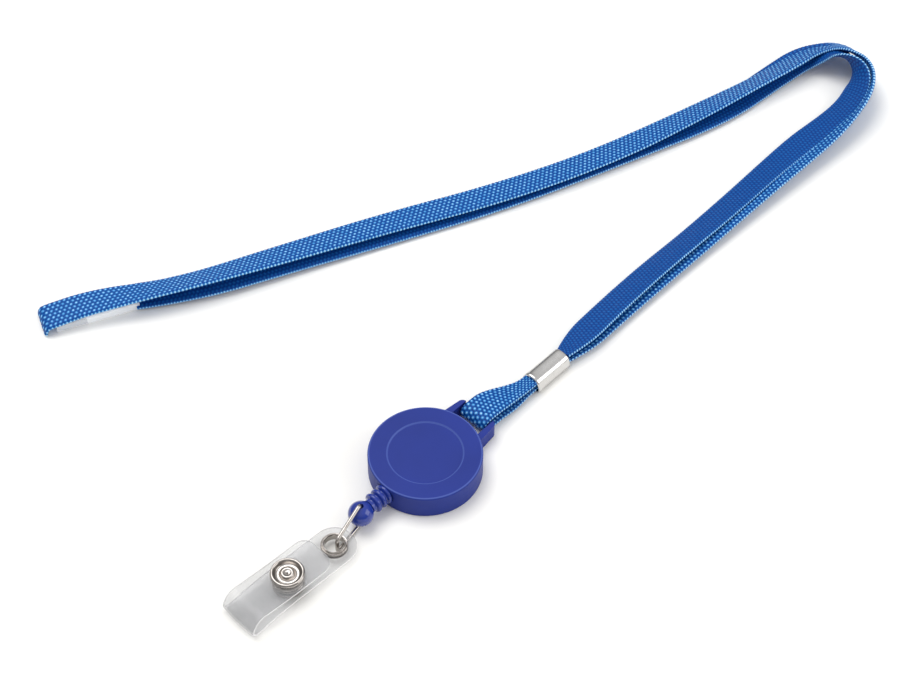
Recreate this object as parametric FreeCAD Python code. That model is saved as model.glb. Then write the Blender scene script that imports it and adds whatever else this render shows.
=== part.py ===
import FreeCAD, Part
import math
import os

# Retractable badge reel on a neck lanyard, lying on its back.
# Millimetres. Origin: reel axis on the housing's back face. +Y runs from the
# badge strap towards the lanyard, +Z out of the reel's front face.

V = FreeCAD.Vector
UP = V(0, 0, 1)
ALONG = V(0, 1, 0)
GAP = 0.05                  # gap between faces that only rest on each other

# --- reel housing ---
REEL_R = 16.0               # 32 mm badge reel
REEL_T = 8.0
WALL = 1.5
FLOOR_T = 1.2
ROOF_T = 1.35
SPLIT_Z = 5.0               # rear cover below, front cover above
LIP_T = 0.6                 # front cover's spigot inside the rear cover
LIP_H = 1.0
EDGE_R = 0.5
LABEL_R = 10.4
LABEL_DEPTH = 0.3
LABEL_BEVEL = 0.35          # width of the recess's sloping edge
LAP = 0.2                   # how far joined parts of one moulding run into each other
POST_R = 1.6
POST_TOP = 6.1
POST_SLIT = 0.4             # slit that holds the spring's inner end
CUP_WALL = 0.75             # the front cover's cup round the post's top
CUP_DEPTH = 0.35
CORD_Z = 4.75               # height of the cord, its mouth and its stop
MOUTH_R = 3.0
MOUTH_DEPTH = 0.8
MOUTH_HOLE_R = 0.8

# --- strap slot at the reel's lanyard end ---
BAR_Y = 21.6
BAR_Z = 3.0
BAR_R = 1.0
EAR_ROOT_Y = 13.0
EAR_TIP_Y = 22.6
EAR_ROOT_X = 7.6            # half width at the housing
EAR_TIP_X = 6.5             # half width at the tip
EAR_TIP_R = 1.6
EAR_BASE_Z = 0.3
SLOT_X = 5.2                # half width of the window
BAR_ROOT = 0.5              # how far each end of the bar runs into its ear
SLOT_SHIFT = -0.6           # the bracket sits a little to the left

# --- spool, spring and cord ---
CORD_R = 0.4
TURN_PITCH = 0.81
LAYERS = 4
COLUMNS = 4
WINDING_GAP = 0.01          # turns lie this far apart
SPOOL_FLANGE_R = 13.4
SPOOL_Z0 = 1.5
SPOOL_Z1 = 6.35
FLANGE_LOW_T = 0.8
FLANGE_HIGH_T = 0.65
DRUM_R = 8.0
DRUM_WALL = 1.0
SPOOL_HOLE_R = 1.2
SPOOL_HOLES_AT = 10.7
SPOOL_HOLES = 6
FIT = 0.05                  # radial clearance of the spool on its post
SPRING_T = 0.15
SPRING_PITCH = 0.5
SPRING_TURNS = 8
SPRING_R0 = 2.2
SPRING_Z0 = 2.5
SPRING_Z1 = 5.3

# --- cord stop: ribbed neck and ball ---
STOP_Y = -15.5              # neck's end, just inside the mouth
RIB_R = 2.6
GROOVE_R = 2.05
RIB_COUNT = 3
RIB_PITCH = 2.0
RIB_T = 0.8
RIB_SLOPE = 0.35
BALL_Y = -25.25
BALL_R = 3.6
KNOT_Y = -21.5
KNOT_R = 1.0
KNOT_FLAT = 0.9             # where the cord meets the knot, from its middle
LEAD_BEND_R = 2.0
CLEAR = 0.1                 # clearance round the cord and its knot
BALL_HOLE_R = 0.85

# --- wire link ---
WIRE_R = 0.55
LINK_LENGTH = 11.35
LINK_YAW = 10.5             # degrees from -Y towards +X
LINK_LOW_Z = 0.6
LINK_HIGH_Z = 9.15          # over the ball
LINK_END_Z = 5.7            # over the eyelet
LINK_BEND_R = 1.0

# --- clear badge strap ---
STRAP_YAW = 2.8             # degrees, turns the fold towards -X
EYELET_X = 1.0
EYELET_Y = -36.5
VINYL_W = 12.3
VINYL_T = 0.5
VINYL_Z = 1.8               # underside of the base layer
FLAP_Z = 4.95               # underside of the flap
FOLD_Y = -31.3              # where the fold starts, from the eyelet
FLAP_TIP_Y = -4.9
FLAP_TIP_R = 2.9
EYELET_OUT_R = 3.75
EYELET_IN_R = 2.7
EYELET_TOP_Z = 3.6
EYELET_LOW_Z = 1.25
EYELET_WALL = 0.3
EYELET_ROLL = 0.6           # height of the rolled edge
ROLL_SHARE = 0.4            # share of a ring's section that its rounding uses

# --- snap fastener, placed from the eyelet ---
SNAP_Y = -16.5
SNAP_R = 4.7
SNAP_FLANGE_Z = 0.05
SNAP_FLANGE_R = 4.4
SNAP_FLANGE_EDGE = 0.5
SNAP_TUBE_R = 1.1
SNAP_TUBE_TOP = 3.3
STUD_R = 1.9
STUD_BORE_R = 1.15
STUD_FOOT_T = 0.6
STUD_TOP = 4.5
SOCKET_R = 4.3
SOCKET_HOLE_R = 2.1
SOCKET_Z = 3.1
SOCKET_EDGE = 0.4
CAP_TOP = 6.8
CAP_RIM_IN_R = 3.3
CAP_WEB_R = 3.5
CAP_WEB_T = 0.4
CAP_WELL_R = 2.0
CAP_WELL_IN_R = 1.2
CAP_WELL_DROP = 0.3         # the inner ring is this much lower than the rim
CAP_DOME_R = 1.0
CAP_NECK_IN_R = 1.3

# --- neck strap ---
BRAID_W = 9.5               # 3/8 inch flat braid
BRAID_T = 1.2
LOWER_Z = 0.0
UPPER_Z = 3.2
BEND_SHARE = 0.45           # share of the shorter run that a bend uses

# --- ferrule ---
FERRULE_X = 1.9
FERRULE_Y0 = 41.5
FERRULE_Y1 = 54.9
FERRULE_W = 6.6
FERRULE_H = 5.0
FERRULE_WALL = 0.45
WRAP_W = 9.2
WRAP_GAP = 0.15             # between the bar and the strap round it
WRAP_TOP_Z = 3.7            # leg heights where they enter the ferrule
WRAP_LOW_Z = 1.4

# --- breakaway clasp: place of the strap's fold, and sizes along its axis ---
CLASP_X = -116.9
CLASP_Y = -39.5
CLASP_HEADING = 65.4        # degrees from +X, from the plug to the socket
PLUG_Y0 = 3.0
PLUG_Y1 = 12.0
SOCKET_Y1 = 28.0
PRONG_L = 9.5
PLUG_W = 7.4
SOCKET_W = 8.0
PRONG_W = 4.8
CLASP_T = 3.0
PRONG_T = 1.4
PRONG_PLAY = 0.15
CLASP_EDGE_R = 0.6
PLUG_DROP = 0.1             # the plug's body is this much thinner than the socket
PRONG_EDGE_R = 0.3
PRONG_END_ROOM = 0.5
APPROACH = 36.0             # straight stretch of strap before the fold

# Route of the neck strap's middle line in plan, from the ferrule round the
# far bend and back towards the clasp.
ROUTE = [
    (1.9, 54.9),
    (0.6, 92.0),
    (0.4, 130.0),
    (1.0, 165.0),
    (2.0, 187.0),
    (1.5, 206.0),
    (-5.6, 213.5),
    (-16.0, 213.5),
    (-23.4, 206.0),
    (-25.0, 187.0),
    (-29.2, 157.0),
    (-40.0, 122.0),
    (-54.0, 89.0),
    (-70.0, 56.0),
    (-84.8, 27.3),
]


def save(name, shape):
    shape = shape.removeSplitter() if shape.ShapeType != "Compound" else shape
    volume = sum(solid.Volume for solid in shape.Solids)
    print("%-16s solids %2d  volume %8.2f  valid %s" % (name, len(shape.Solids), volume, shape.isValid()))
    shape.exportStep("parts/%s.step" % name)


def disc(radius, z0, z1, x=0.0, y=0.0):
    return Part.makeCylinder(radius, z1 - z0, V(x, y, z0))


def ring(outer, inner, z0, z1, x=0.0, y=0.0):
    return disc(outer, z0, z1, x, y).cut(disc(inner, z0 - 1, z1 + 1, x, y))


def block(x0, x1, y0, y1, z0, z1):
    return Part.makeBox(x1 - x0, y1 - y0, z1 - z0, V(x0, y0, z0))


def rod_y(radius, y0, y1, x=0.0, z=0.0):
    return Part.makeCylinder(radius, y1 - y0, V(x, y0, z), ALONG)


def turned(points, axis_point, axis):
    """A solid turned from a closed outline of straight lines."""
    face = Part.Face(Part.makePolygon(points + points[:1]))
    return face.revolve(axis_point, axis, 360)


def points_round(radius, count):
    step = 2 * math.pi / count
    return [(radius * math.cos(i * step), radius * math.sin(i * step)) for i in range(count)]


# --- routes: straight runs joined by tangent arcs ---

def rounded_route(points, name, bend_r=None):
    """Straight runs and tangent arcs through flat points, as large as the runs allow."""
    parts = []
    radii = []
    start = points[0]
    for before, corner, after in zip(points, points[1:], points[2:]):
        into = corner - before
        out = after - corner
        turn = into.getAngle(out)
        reach = BEND_SHARE * min(into.Length, out.Length)
        radius = reach / math.tan(turn / 2)
        if bend_r is not None:
            radius = bend_r
            reach = radius * math.tan(turn / 2)
        into.normalize()
        out.normalize()
        first = corner - into * reach
        last = corner + out * reach
        inward = (out - into).normalize()
        centre = corner + inward * (radius / math.cos(turn / 2))
        middle = centre - inward * radius
        parts.append(("run", start, first, None, None))
        parts.append(("bend", first, last, middle, centre))
        radii.append(radius)
        start = last
    parts.append(("run", start, points[-1], None, None))
    print("%-16s bend radii %s" % (name, " ".join("%.1f" % r for r in radii)))
    return parts


def route_edges(parts):
    edges = []
    for kind, first, last, middle, _ in parts:
        if kind == "run":
            edges.append(Part.LineSegment(first, last).toShape())
        else:
            edges.append(Part.Arc(first, middle, last).toShape())
    return edges


def tube(parts, radius, name):
    """A round cord along a route."""
    path = Part.Wire(route_edges(parts))
    heading = (parts[0][2] - parts[0][1]).normalize()
    section = Part.Wire(Part.makeCircle(radius, parts[0][1], heading))
    solid = path.makePipeShell([section], True, False)
    expected = math.pi * radius ** 2 * path.Length
    print("%-16s length %.1f  volume %.2f of %.2f" % (name, path.Length, solid.Volume, expected))
    return solid


def side_edges(parts, shift):
    """The edges of a flat band's side, shifted left of the route."""
    edges = []
    for kind, first, last, middle, centre in parts:
        if kind == "run":
            left = UP.cross(last - first).normalize() * shift
            edges.append(Part.LineSegment(first + left, last + left).toShape())
        else:
            turns_left = UP.cross(middle - first).dot(centre - first) > 0
            sign = 1 if turns_left else -1
            moved = [p + (centre - p).normalize() * sign * shift for p in (first, middle, last)]
            edges.append(Part.Arc(*moved).toShape())
    return edges


def band(parts, width, z0, thickness, name):
    """A flat strap lying on a route, bent only in its own plane."""
    half = width / 2
    left = side_edges(parts, half)
    right = side_edges(parts, -half)
    starts = [left[0].firstVertex().Point, right[0].firstVertex().Point]
    ends = [left[-1].lastVertex().Point, right[-1].lastVertex().Point]
    caps = [Part.LineSegment(*starts).toShape(), Part.LineSegment(*ends).toShape()]
    outline = Part.Wire(Part.__sortEdges__(left + right + caps))
    solid = Part.Face(outline).extrude(UP * thickness)
    solid.translate(UP * z0)
    length = sum(edge.Length for edge in route_edges(parts))
    expected = width * thickness * length
    print("%-16s length %.1f  volume %.1f of %.1f" % (name, length, solid.Volume, expected))
    return solid


# --- reel housing ---

def mouth_cut():
    """The hole where the cord leaves, with a seat for the stop's neck."""
    seat = rod_y(MOUTH_R, -REEL_R - 1, -REEL_R + MOUTH_DEPTH, z=CORD_Z)
    return seat.fuse(rod_y(MOUTH_HOLE_R, -REEL_R - 1, -REEL_R + 2 * WALL, z=CORD_Z))


def slot_bracket():
    """Two ears and the bar that the neck strap goes round."""
    outline = [
        V(-EAR_ROOT_X, EAR_ROOT_Y, 0),
        V(-EAR_TIP_X, EAR_TIP_Y, 0),
        V(EAR_TIP_X, EAR_TIP_Y, 0),
        V(EAR_ROOT_X, EAR_ROOT_Y, 0),
    ]
    plate = Part.Face(Part.makePolygon(outline + outline[:1])).extrude(UP * (SPLIT_Z - EAR_BASE_Z))
    upright = [e for e in plate.Edges if abs(e.tangentAt(0).z) > 0.9]
    tips = [e for e in upright if e.CenterOfMass.y > BAR_Y]
    plate = plate.makeFillet(EAR_TIP_R, tips)
    plate.translate(V(SLOT_SHIFT, 0, EAR_BASE_Z))
    window = block(-SLOT_X, SLOT_X, EAR_ROOT_Y - 1, EAR_TIP_Y + 1, -1, SPLIT_Z + 1)
    window.translate(V(SLOT_SHIFT, 0, 0))
    bar_start = V(SLOT_SHIFT - SLOT_X - BAR_ROOT, BAR_Y, BAR_Z)
    bar = Part.makeCylinder(BAR_R, 2 * (SLOT_X + BAR_ROOT), bar_start, V(1, 0, 0))
    ears = plate.cut(window).cut(disc(REEL_R - WALL / 2, -1, REEL_T))
    return ears, bar


def rear_cover():
    shell = disc(REEL_R, 0, SPLIT_Z)
    rim = [e for e in shell.Edges if e.Length > 50 and e.CenterOfMass.z < 0.1]
    shell = shell.makeFillet(EDGE_R, rim)
    shell = shell.cut(disc(REEL_R - WALL, FLOOR_T, SPLIT_Z + 1))
    shell = shell.cut(disc(REEL_R - WALL + LIP_T + FIT, SPLIT_Z - LIP_H - FIT, SPLIT_Z + 1))
    post = disc(POST_R, FLOOR_T - LAP, POST_TOP)
    slit = block(-POST_SLIT / 2, POST_SLIT / 2, -POST_R - 1, POST_R + 1, SPRING_Z0, POST_TOP + 1)
    ears, bar = slot_bracket()
    cover = shell.fuse([post.cut(slit), ears, bar])
    return cover.cut(mouth_cut())


def front_cover():
    shell = disc(REEL_R, SPLIT_Z + GAP / 2, REEL_T)
    rim = [e for e in shell.Edges if e.Length > 50 and e.CenterOfMass.z > REEL_T - 0.1]
    shell = shell.makeFillet(EDGE_R, rim)
    shell = shell.cut(disc(REEL_R - WALL, SPLIT_Z - 1, REEL_T - ROOF_T))
    recess = Part.makeCone(LABEL_R, LABEL_R + LABEL_BEVEL, LABEL_DEPTH, V(0, 0, REEL_T - LABEL_DEPTH))
    shell = shell.cut(recess)
    spigot = ring(REEL_R - WALL + LIP_T, REEL_R - WALL, SPLIT_Z - LIP_H, SPLIT_Z + LIP_H)
    cup = ring(POST_R + FIT + CUP_WALL, POST_R + FIT, POST_TOP - CUP_DEPTH, REEL_T - ROOF_T + LAP)
    return shell.fuse([spigot, cup]).cut(mouth_cut())


# --- spool ---

def spool():
    low = disc(SPOOL_FLANGE_R, SPOOL_Z0, SPOOL_Z0 + FLANGE_LOW_T)
    drum = ring(DRUM_R, DRUM_R - DRUM_WALL, SPOOL_Z0, SPOOL_Z1)
    high = ring(SPOOL_FLANGE_R, DRUM_R - DRUM_WALL, SPOOL_Z1 - FLANGE_HIGH_T, SPOOL_Z1)
    body = low.fuse([drum, high]).cut(disc(POST_R + FIT, 0, REEL_T))
    hole_top = SPOOL_Z0 + FLANGE_LOW_T + LAP
    holes = [disc(SPOOL_HOLE_R, 0, hole_top, x, y) for x, y in points_round(SPOOL_HOLES_AT, SPOOL_HOLES)]
    return body.cut(holes)


def cord_winding():
    """Turns of cord side by side and in layers on the drum."""
    turns = []
    length = 0
    for layer in range(LAYERS):
        radius = DRUM_R + CORD_R + layer * TURN_PITCH
        columns = range(COLUMNS) if layer < LAYERS - 1 else range(1, COLUMNS - 1)
        for column in columns:
            z = CORD_Z - CORD_R + (column - COLUMNS // 2) * TURN_PITCH
            turns.append(Part.makeTorus(radius, CORD_R - WINDING_GAP, V(0, 0, z)))
            length += 2 * math.pi * radius
    print("cord on the drum %.0f mm" % length)
    return Part.makeCompound(turns)


def power_spring():
    """Flat spiral spring made of half circles that step outwards."""
    def spiral(extra):
        edges = []
        for half_turn in range(2 * SPRING_TURNS):
            radius = SPRING_R0 + half_turn * SPRING_PITCH / 2 + extra
            side = 1 if half_turn % 2 == 0 else -1
            x = 0 if half_turn % 2 == 0 else SPRING_PITCH / 2
            ends = [V(x + side * radius, 0, 0), V(x, side * radius, 0), V(x - side * radius, 0, 0)]
            edges.append(Part.Arc(*ends).toShape())
        return edges
    inner = spiral(-SPRING_T / 2)
    outer = spiral(SPRING_T / 2)
    caps = [
        Part.LineSegment(inner[0].firstVertex(True).Point, outer[0].firstVertex(True).Point).toShape(),
        Part.LineSegment(inner[-1].lastVertex(True).Point, outer[-1].lastVertex(True).Point).toShape(),
    ]
    face = Part.Face(Part.Wire(Part.__sortEdges__(inner + outer + caps)))
    strip = face.extrude(UP * (SPRING_Z1 - SPRING_Z0))
    strip.translate(V(0, 0, SPRING_Z0))
    return strip


def cord_lead():
    """The cord from the outside of the winding to the knot inside the stop."""
    run_r = DRUM_R + CORD_R + LAYERS * TURN_PITCH
    bend_y = REEL_R - WALL - LIP_T
    leave = math.acos(run_r / bend_y)
    points = [
        V(-run_r * math.sin(leave), -run_r * math.cos(leave), CORD_Z),
        V(0, -bend_y, CORD_Z),
        V(0, KNOT_Y + KNOT_FLAT, CORD_Z),
    ]
    return tube(rounded_route(points, "cord_lead", bend_r=LEAD_BEND_R), CORD_R, "cord_lead")


def cord_knot():
    knot = Part.makeSphere(KNOT_R, V(0, KNOT_Y, CORD_Z))
    return knot.cut(rod_y(KNOT_R, KNOT_Y + KNOT_FLAT, KNOT_Y + 2 * KNOT_R, z=CORD_Z))


# --- cord stop and link ---

def cord_stop():
    """Ribbed neck with a ball, a passage for the cord and a hole for the link."""
    outline = [(0, STOP_Y)]
    y = STOP_Y
    for _ in range(RIB_COUNT):
        low = y - 2 * RIB_SLOPE - RIB_T
        outline += [(GROOVE_R, y), (RIB_R, y - RIB_SLOPE), (RIB_R, low + RIB_SLOPE), (GROOVE_R, low)]
        y -= RIB_PITCH
    outline += [(GROOVE_R, BALL_Y), (0, BALL_Y)]
    points = [V(r, along, CORD_Z) for r, along in outline]
    neck = turned(points, V(0, 0, CORD_Z), ALONG)
    ball = Part.makeSphere(BALL_R, V(0, BALL_Y, CORD_Z))
    body = neck.fuse(ball)
    passage = rod_y(CORD_R + CLEAR, KNOT_Y, STOP_Y + 1, z=CORD_Z)
    pocket = Part.makeSphere(KNOT_R + CLEAR, V(0, KNOT_Y, CORD_Z))
    hole = disc(BALL_HOLE_R, 0, REEL_R, y=BALL_Y)
    return body.cut([passage, pocket, hole])


def wire_link():
    """Closed wire loop through the ball and the eyelet, standing on edge."""
    corners = [
        V(0, 0, LINK_LOW_Z),
        V(0, 0, LINK_HIGH_Z),
        V(0, -LINK_LENGTH, LINK_END_Z),
        V(0, -LINK_LENGTH, LINK_LOW_Z),
    ]
    start = (corners[0] + corners[3]) * 0.5
    parts = rounded_route([start] + corners + [start], "wire_link", bend_r=LINK_BEND_R)
    loop = tube(parts, WIRE_R, "wire_link")
    loop.rotate(V(0, 0, 0), UP, LINK_YAW)
    loop.translate(V(0, BALL_Y, 0))
    return loop


# --- clear badge strap, drawn from the eyelet along -Y, then put in place ---

def in_strap(shape):
    shape.rotate(V(0, 0, 0), UP, -STRAP_YAW)
    shape.translate(V(EYELET_X, EYELET_Y, 0))
    return shape


def vinyl_base():
    half = VINYL_W / 2
    nose = disc(half, VINYL_Z, VINYL_Z + VINYL_T)
    sheet = block(-half, half, FOLD_Y, 0, VINYL_Z, VINYL_Z + VINYL_T)
    eyelet_hole = disc(EYELET_IN_R + EYELET_WALL + GAP, 0, VINYL_Z + 1)
    snap_hole = disc(STUD_R + GAP, 0, VINYL_Z + 1, y=SNAP_Y)
    return in_strap(nose.fuse(sheet).removeSplitter().cut([eyelet_hole, snap_hole]))


def vinyl_fold():
    """The bend that joins base and flap, a half tube wall."""
    outer = (FLAP_Z + VINYL_T - VINYL_Z) / 2
    centre = V(-VINYL_W / 2, FOLD_Y, VINYL_Z + outer)
    across = V(1, 0, 0)
    wall = Part.makeCylinder(outer, VINYL_W, centre, across)
    wall = wall.cut(Part.makeCylinder(outer - VINYL_T, VINYL_W, centre, across))
    return in_strap(wall.common(block(-VINYL_W, VINYL_W, FOLD_Y - 2 * outer, FOLD_Y, 0, REEL_T)))


def vinyl_flap():
    half = VINYL_W / 2
    sheet = block(-half, half, FOLD_Y, FLAP_TIP_Y, FLAP_Z, FLAP_Z + VINYL_T)
    corners = [e for e in sheet.Edges if abs(e.tangentAt(0).z) > 0.9 and e.CenterOfMass.y > FLAP_TIP_Y - 1]
    sheet = sheet.makeFillet(FLAP_TIP_R, corners)
    return in_strap(sheet.cut(disc(SOCKET_HOLE_R + GAP, FLAP_Z - 1, FLAP_Z + 1, y=SNAP_Y)))


def rolled_ring(outer, inner, z0, z1):
    """A pressed ring with rounded outer and inner edges."""
    solid = ring(outer, inner, z0, z1)
    edges = [e for e in solid.Edges if e.Length > 5 and e.CenterOfMass.z > (z0 + z1) / 2]
    return solid.makeFillet(min(z1 - z0, outer - inner) * ROLL_SHARE, edges)


def eyelet():
    """Rolled top ring with a barrel down through the base layer."""
    top = rolled_ring(EYELET_OUT_R, EYELET_IN_R, VINYL_Z + VINYL_T + GAP, EYELET_TOP_Z)
    barrel = ring(EYELET_IN_R + EYELET_WALL, EYELET_IN_R, EYELET_LOW_Z, EYELET_TOP_Z - EYELET_ROLL)
    return in_strap(top.fuse(barrel))


def eyelet_washer():
    bore = EYELET_IN_R + EYELET_WALL + GAP / 2
    return in_strap(ring(EYELET_OUT_R, bore, EYELET_LOW_Z, VINYL_Z - GAP))


def snap_post():
    """Lower flange under the base layer, with the tube that holds the stud."""
    flange = disc(SNAP_FLANGE_R, SNAP_FLANGE_Z, VINYL_Z - GAP, y=SNAP_Y)
    low = [e for e in flange.Edges if e.Length > 20 and e.CenterOfMass.z < VINYL_Z / 2]
    flange = flange.makeFillet(SNAP_FLANGE_EDGE, low)
    tube_wall = disc(SNAP_TUBE_R, VINYL_Z - GAP - LAP, SNAP_TUBE_TOP, y=SNAP_Y)
    return in_strap(flange.fuse(tube_wall))


def snap_stud():
    """The knob on the base layer that the socket clips over."""
    z0 = VINYL_Z + VINYL_T + GAP
    foot = rolled_ring(SOCKET_R, STUD_BORE_R, z0, z0 + STUD_FOOT_T)
    knob = ring(STUD_R, STUD_BORE_R, z0, STUD_TOP)
    foot.translate(V(0, SNAP_Y, 0))
    knob.translate(V(0, SNAP_Y, 0))
    return in_strap(foot.fuse(knob))


def snap_socket():
    """Spring socket under the flap."""
    solid = ring(SOCKET_R, SOCKET_HOLE_R, SOCKET_Z, FLAP_Z - GAP, y=SNAP_Y)
    low = [e for e in solid.Edges if e.Length > 20 and e.CenterOfMass.z < SOCKET_Z + GAP]
    return in_strap(solid.makeFillet(SOCKET_EDGE, low))


def snap_cap():
    """Ring on the flap's top, with the domed post in its middle."""
    z0 = FLAP_Z + VINYL_T + GAP
    rim = rolled_ring(SNAP_R, CAP_RIM_IN_R, z0, CAP_TOP)
    web = disc(CAP_WEB_R, z0, z0 + CAP_WEB_T)
    well = rolled_ring(CAP_WELL_R, CAP_WELL_IN_R, z0, CAP_TOP - CAP_WELL_DROP)
    dome = Part.makeSphere(CAP_DOME_R, V(0, 0, z0 + LAP)).common(disc(CAP_DOME_R + LAP, z0, CAP_TOP))
    neck = ring(SOCKET_HOLE_R, CAP_NECK_IN_R, FLAP_Z, z0 + LAP)
    cap = rim.fuse([web, well, dome, neck])
    cap.translate(V(0, SNAP_Y, 0))
    return in_strap(cap)


# --- neck strap, ferrule and clasp ---

def clasp_frame(shape):
    """Moves a shape drawn along +Y to the clasp's place and heading."""
    shape.rotate(V(0, 0, 0), UP, CLASP_HEADING - 90)
    shape.translate(V(CLASP_X, CLASP_Y, 0))
    return shape


def on_clasp_axis(distance):
    heading = math.radians(CLASP_HEADING)
    return V(CLASP_X + math.cos(heading) * distance, CLASP_Y + math.sin(heading) * distance, 0)


def neck_route(end):
    return [V(x, y, 0) for x, y in ROUTE] + [on_clasp_axis(APPROACH), on_clasp_axis(end)]


def strap_lower():
    parts = rounded_route(neck_route(SOCKET_Y1), "strap_lower")
    return band(parts, BRAID_W, LOWER_Z, BRAID_T, "strap_lower")


def strap_upper():
    """Upper layer, its fold over the clasp's end and the leg into the plug."""
    leg_z = (CLASP_T - BRAID_T) / 2
    outer = (UPPER_Z + BRAID_T - leg_z) / 2
    parts = rounded_route(neck_route(outer), "strap_upper")
    long_part = band(parts, BRAID_W, UPPER_Z, BRAID_T, "strap_upper")
    across = V(1, 0, 0)
    centre = V(-BRAID_W / 2, outer, leg_z + outer)
    fold = Part.makeCylinder(outer, BRAID_W, centre, across)
    fold = fold.cut(Part.makeCylinder(outer - BRAID_T, BRAID_W, centre, across))
    fold = fold.common(block(-BRAID_W, BRAID_W, -1, outer, -1, 10))
    leg = block(-BRAID_W / 2, BRAID_W / 2, outer, PLUG_Y0, leg_z, leg_z + BRAID_T)
    return long_part.fuse(clasp_frame(fold.fuse(leg)))


def strap_slot_loop():
    """The strap's narrow end loop: round the slot's bar and into the ferrule."""
    inner = BAR_R + WRAP_GAP
    outer = inner + BRAID_T
    middle = inner + BRAID_T / 2
    reach = FERRULE_Y0 - BAR_Y
    centre = V(0, BAR_Y, BAR_Z)

    def leg_points(sign, end_z):
        slope = math.atan2(end_z - (BAR_Z + sign * middle), reach)
        normal = V(0, -sign * math.sin(slope), sign * math.cos(slope))
        heading = V(0, math.cos(slope), math.sin(slope))
        points = []
        for radius in (inner, outer):
            near = centre + normal * radius
            far = near + heading * ((FERRULE_Y0 - near.y) / heading.y)
            points.append((near, far))
        return points

    high = leg_points(1, WRAP_TOP_Z)
    low = leg_points(-1, WRAP_LOW_Z)
    edges = []
    for side, radius in ((0, inner), (1, outer)):
        turn = Part.Arc(high[side][0], V(0, BAR_Y - radius, BAR_Z), low[side][0])
        edges.append(Part.LineSegment(*high[side]).toShape())
        edges.append(Part.LineSegment(*low[side]).toShape())
        edges.append(turn.toShape())
    edges.append(Part.LineSegment(high[0][1], high[1][1]).toShape())
    edges.append(Part.LineSegment(low[0][1], low[1][1]).toShape())
    face = Part.Face(Part.Wire(Part.__sortEdges__(edges)))
    loop = face.extrude(V(WRAP_W, 0, 0))
    loop.translate(V(SLOT_SHIFT - WRAP_W / 2, 0, 0))
    inside = flat_tube(FERRULE_WALL + GAP)
    return loop.fuse(inside)


def flat_tube(inset):
    """A rod with flat top and bottom and round sides, as long as the ferrule."""
    height = FERRULE_H - 2 * inset
    half = (FERRULE_W - FERRULE_H) / 2
    z = FERRULE_H / 2 + GAP
    core = block(FERRULE_X - half, FERRULE_X + half, FERRULE_Y0, FERRULE_Y1, z - height / 2, z + height / 2)
    sides = [rod_y(height / 2, FERRULE_Y0, FERRULE_Y1, FERRULE_X + side * half, z) for side in (-1, 1)]
    return core.fuse(sides).removeSplitter()


def ferrule():
    return flat_tube(0).cut(flat_tube(FERRULE_WALL))


def clasp_block(width, y0, y1, z0, z1, edge):
    solid = block(-width / 2, width / 2, y0, y1, z0, z1)
    sides = [e for e in solid.Edges if abs(e.tangentAt(0).y) > 0.9]
    return solid.makeFillet(edge, sides)


def clasp_plug():
    body = clasp_block(PLUG_W, PLUG_Y0, PLUG_Y1, GAP, CLASP_T - PLUG_DROP, CLASP_EDGE_R)
    z = CLASP_T / 2
    low = z - PRONG_T / 2
    prong = clasp_block(PRONG_W, PLUG_Y1 - 1, PLUG_Y1 + PRONG_L, low, low + PRONG_T, PRONG_EDGE_R)
    return clasp_frame(body.fuse(prong))


def clasp_socket():
    body = clasp_block(SOCKET_W, PLUG_Y1 + GAP, SOCKET_Y1, GAP, CLASP_T, CLASP_EDGE_R)
    z = CLASP_T / 2
    room = PRONG_T / 2 + PRONG_PLAY
    side = PRONG_W / 2 + PRONG_PLAY
    cavity = block(-side, side, PLUG_Y1 - 1, PLUG_Y1 + PRONG_L + PRONG_END_ROOM, z - room, z + room)
    return clasp_frame(body.cut(cavity))


NODES = [
    rear_cover,
    front_cover,
    spool,
    cord_winding,
    power_spring,
    cord_lead,
    cord_knot,
    cord_stop,
    wire_link,
    vinyl_base,
    vinyl_fold,
    vinyl_flap,
    eyelet,
    eyelet_washer,
    snap_post,
    snap_stud,
    snap_socket,
    snap_cap,
    strap_lower,
    strap_upper,
    strap_slot_loop,
    ferrule,
    clasp_plug,
    clasp_socket,
]

os.makedirs("parts", exist_ok=True)
for node in NODES:
    save(node.__name__, node())
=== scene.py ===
import math

import bpy
import numpy as np
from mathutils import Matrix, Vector


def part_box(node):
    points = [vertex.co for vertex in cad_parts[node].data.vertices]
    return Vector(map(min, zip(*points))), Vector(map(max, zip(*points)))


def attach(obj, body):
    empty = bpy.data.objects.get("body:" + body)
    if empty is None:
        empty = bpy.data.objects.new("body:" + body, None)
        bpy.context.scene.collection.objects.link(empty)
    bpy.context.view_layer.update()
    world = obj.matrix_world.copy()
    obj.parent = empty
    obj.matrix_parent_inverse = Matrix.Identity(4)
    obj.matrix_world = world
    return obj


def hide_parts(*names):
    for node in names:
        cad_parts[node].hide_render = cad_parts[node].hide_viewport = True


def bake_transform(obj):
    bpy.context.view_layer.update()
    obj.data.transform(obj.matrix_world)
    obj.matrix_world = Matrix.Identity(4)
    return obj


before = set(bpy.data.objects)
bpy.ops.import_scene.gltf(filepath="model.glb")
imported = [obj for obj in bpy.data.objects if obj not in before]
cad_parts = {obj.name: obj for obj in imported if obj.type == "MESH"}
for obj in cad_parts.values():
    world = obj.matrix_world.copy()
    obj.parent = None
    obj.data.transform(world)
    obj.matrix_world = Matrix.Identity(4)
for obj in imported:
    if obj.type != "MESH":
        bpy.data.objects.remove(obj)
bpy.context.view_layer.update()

MM = 0.001
UP = np.array([0.0, 0.0, 1.0])

# --- camera ---
CAMERA_TARGET = Vector((-0.0262, 0.0373, 0.0))
CAMERA_AZIMUTH = 43.5
CAMERA_ELEVATION = 50.5
CAMERA_DISTANCE = 0.650
CAMERA_LENS = 89.4

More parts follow.
